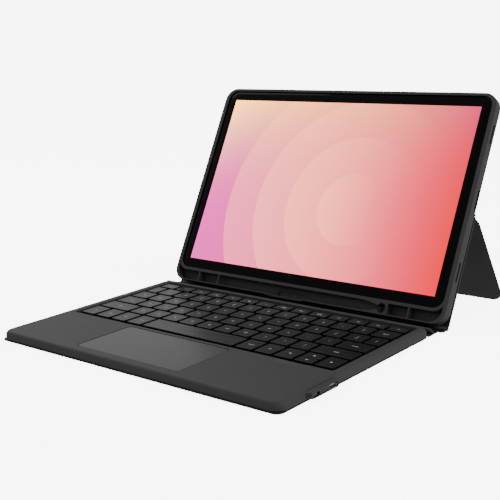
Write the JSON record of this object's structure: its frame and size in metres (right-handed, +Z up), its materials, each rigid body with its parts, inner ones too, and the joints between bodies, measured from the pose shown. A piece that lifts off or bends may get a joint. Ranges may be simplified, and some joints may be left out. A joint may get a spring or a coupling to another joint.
{
  "type": "tablet keyboard case",
  "caption": "Folio case for a tablet: keyboard deck with trackpad, folding leather spine, moulded tray with pen bay and a fold-out kickstand.",
  "frame": {"origin": "middle of the keyboard deck's underside, on the table", "axes": "+X to the right along the deck's width, +Y from the palm rest towards the tablet, +Z up"},
  "size_m": [0.2596, 0.2881, 0.1632],
  "materials": {
    "leather": "matte",
    "shell": "soft touch",
    "inner_plastic": "matte",
    "key_plastic": "satin",
    "silicone": "matte",
    "steel": "satin",
    "circuit_board": "satin",
    "cell_wrap": "satin",
    "copper_film": "satin",
    "pad_glass": "satin",
    "smoked_window": "gloss",
    "led": "gloss",
    "clear_rubber": "satin",
    "nylon": "satin",
    "microfibre": "matte",
    "board": "matte",
    "tablet_metal": "satin",
    "screen_glass": "gloss",
    "screen_picture": "gloss"
  },
  "bodies": {
    "deck": {"base_cover": "leather", "bottom_plate": "inner_plastic", "deck_shell": "shell", "deck_screws": "steel", "port_housing": "silicone", "usb_receptacle": "steel", "switch_body": "inner_plastic", "main_board": "circuit_board", "battery": "cell_wrap", "flex_cable": "copper_film", "deck_magnets": "steel", "indicator_window": "smoked_window", "status_leds": "led", "key_membrane": "inner_plastic", "key_plate": "inner_plastic", "rubber_domes": "clear_rubber", "scissor_lifts": "nylon", "trackpad_frame": "inner_plastic", "trackpad_switch": "steel"},
    "power_switch": {"switch_knob": "inner_plastic"},
    "trackpad": {"trackpad_board": "circuit_board", "trackpad_glass": "pad_glass"},
    "spine": {"spine": "leather"},
    "tray": {"tray": "silicone", "tray_lip": "silicone", "tray_liner": "microfibre", "back_panel_skin": "leather", "back_panel_board": "board", "kickstand_fold": "leather"},
    "kickstand": {"kickstand_skin": "leather", "kickstand_board": "board", "kickstand_magnets": "steel"},
    "volume_cover": {"volume_cover": "silicone"},
    "power_cover": {"power_cover": "silicone"},
    "tablet": {"tablet_shell": "tablet_metal", "tablet_display": "screen_picture", "tablet_glass": "screen_glass", "tablet_camera": "screen_glass"},
    "escape_key": {"escape_key": "key_plastic"},
    "function_keys": {"function_keys": "key_plastic"},
    "grave_key": {"grave_key": "key_plastic"},
    "number_keys": {"number_keys": "key_plastic"},
    "backspace_key": {"backspace_key": "key_plastic"},
    "tab_key": {"tab_key": "key_plastic"},
    "upper_letter_keys": {"upper_letter_keys": "key_plastic"},
    "backslash_key": {"backslash_key": "key_plastic"},
    "caps_key": {"caps_key": "key_plastic"},
    "home_letter_keys": {"home_letter_keys": "key_plastic"},
    "enter_key": {"enter_key": "key_plastic"},
    "left_shift_key": {"left_shift_key": "key_plastic"},
    "lower_letter_keys": {"lower_letter_keys": "key_plastic"},
    "right_shift_key": {"right_shift_key": "key_plastic"},
    "left_modifier_keys": {"left_modifier_keys": "key_plastic"},
    "space_key": {"space_key": "key_plastic"},
    "right_modifier_keys": {"right_modifier_keys": "key_plastic"},
    "left_arrow_key": {"left_arrow_key": "key_plastic"},
    "up_arrow_key": {"up_arrow_key": "key_plastic"},
    "down_arrow_key": {"down_arrow_key": "key_plastic"},
    "right_arrow_key": {"right_arrow_key": "key_plastic"}
  },
  "joints": [
    {"name": "spine_fold", "type": "hinge", "parent": "deck", "child": "spine", "pos_m": [0, 0.0882, 0.001], "axis": [1, 0, 0], "range_deg": [0, 90]},
    {"name": "panel_fold", "type": "hinge", "parent": "spine", "child": "tray", "pos_m": [0, 0.1065, 0.001], "axis": [1, 0, 0], "range_deg": [-62, 28]},
    {"name": "kickstand_swing", "type": "hinge", "parent": "tray", "child": "kickstand", "pos_m": [0, 0.14777, 0.07691], "axis": [1, 0, 0], "range_deg": [-25, 118.3]},
    {"name": "tablet_lift", "type": "slide", "parent": "tray", "child": "tablet", "axis": [0, -0.8829, 0.4695], "range_m": [0, 0.03], "deforming": ["tray_lip"]},
    {"name": "power_switch_slide", "type": "slide", "parent": "deck", "child": "power_switch", "axis": [0, 1, 0], "range_m": [0, 0.002]},
    {"name": "trackpad_press", "type": "hinge", "parent": "deck", "child": "trackpad", "pos_m": [-0.0065, -0.0289, 0.00615], "axis": [1, 0, 0], "range_deg": [0, 0.7], "stiffness_Nm_per_rad": 6, "springref_deg": -0.23},
    {"name": "volume_press", "type": "slide", "parent": "tray", "child": "volume_cover", "axis": [0, -0.4695, -0.8829], "range_m": [0, 0.0005], "stiffness_N_per_m": 1500},
    {"name": "power_press", "type": "slide", "parent": "tray", "child": "power_cover", "axis": [0, -0.4695, -0.8829], "range_m": [0, 0.0005], "stiffness_N_per_m": 1500},
    {"name": "escape_key_press", "type": "slide", "parent": "deck", "child": "escape_key", "axis": [0, 0, 1], "range_m": [-0.0012, 0], "stiffness_N_per_m": 400},
    {"name": "function_keys_press", "type": "slide", "parent": "deck", "child": "function_keys", "axis": [0, 0, 1], "range_m": [-0.0012, 0], "stiffness_N_per_m": 5200},
    {"name": "grave_key_press", "type": "slide", "parent": "deck", "child": "grave_key", "axis": [0, 0, 1], "range_m": [-0.0012, 0], "stiffness_N_per_m": 400},
    {"name": "number_keys_press", "type": "slide", "parent": "deck", "child": "number_keys", "axis": [0, 0, 1], "range_m": [-0.0012, 0], "stiffness_N_per_m": 4800},
    {"name": "backspace_key_press", "type": "slide", "parent": "deck", "child": "backspace_key", "axis": [0, 0, 1], "range_m": [-0.0012, 0], "stiffness_N_per_m": 400},
    {"name": "tab_key_press", "type": "slide", "parent": "deck", "child": "tab_key", "axis": [0, 0, 1], "range_m": [-0.0012, 0], "stiffness_N_per_m": 400},
    {"name": "upper_letter_keys_press", "type": "slide", "parent": "deck", "child": "upper_letter_keys", "axis": [0, 0, 1], "range_m": [-0.0012, 0], "stiffness_N_per_m": 4800},
    {"name": "backslash_key_press", "type": "slide", "parent": "deck", "child": "backslash_key", "axis": [0, 0, 1], "range_m": [-0.0012, 0], "stiffness_N_per_m": 400},
    {"name": "caps_key_press", "type": "slide", "parent": "deck", "child": "caps_key", "axis": [0, 0, 1], "range_m": [-0.0012, 0], "stiffness_N_per_m": 400},
    {"name": "home_letter_keys_press", "type": "slide", "parent": "deck", "child": "home_letter_keys", "axis": [0, 0, 1], "range_m": [-0.0012, 0], "stiffness_N_per_m": 4400},
    {"name": "enter_key_press", "type": "slide", "parent": "deck", "child": "enter_key", "axis": [0, 0, 1], "range_m": [-0.0012, 0], "stiffness_N_per_m": 400},
    {"name": "left_shift_key_press", "type": "slide", "parent": "deck", "child": "left_shift_key", "axis": [0, 0, 1], "range_m": [-0.0012, 0], "stiffness_N_per_m": 400},
    {"name": "lower_letter_keys_press", "type": "slide", "parent": "deck", "child": "lower_letter_keys", "axis": [0, 0, 1], "range_m": [-0.0012, 0], "stiffness_N_per_m": 4000},
    {"name": "right_shift_key_press", "type": "slide", "parent": "deck", "child": "right_shift_key", "axis": [0, 0, 1], "range_m": [-0.0012, 0], "stiffness_N_per_m": 400},
    {"name": "left_modifier_keys_press", "type": "slide", "parent": "deck", "child": "left_modifier_keys", "axis": [0, 0, 1], "range_m": [-0.0012, 0], "stiffness_N_per_m": 1600},
    {"name": "space_key_press", "type": "slide", "parent": "deck", "child": "space_key", "axis": [0, 0, 1], "range_m": [-0.0012, 0], "stiffness_N_per_m": 400, "deforming": ["rubber_domes", "scissor_lifts"]},
    {"name": "right_modifier_keys_press", "type": "slide", "parent": "deck", "child": "right_modifier_keys", "axis": [0, 0, 1], "range_m": [-0.0012, 0], "stiffness_N_per_m": 800},
    {"name": "left_arrow_key_press", "type": "slide", "parent": "deck", "child": "left_arrow_key", "axis": [0, 0, 1], "range_m": [-0.0012, 0], "stiffness_N_per_m": 400},
    {"name": "up_arrow_key_press", "type": "slide", "parent": "deck", "child": "up_arrow_key", "axis": [0, 0, 1], "range_m": [-0.0012, 0], "stiffness_N_per_m": 400},
    {"name": "down_arrow_key_press", "type": "slide", "parent": "deck", "child": "down_arrow_key", "axis": [0, 0, 1], "range_m": [-0.0012, 0], "stiffness_N_per_m": 400},
    {"name": "right_arrow_key_press", "type": "slide", "parent": "deck", "child": "right_arrow_key", "axis": [0, 0, 1], "range_m": [-0.0012, 0], "stiffness_N_per_m": 400}
  ]
}
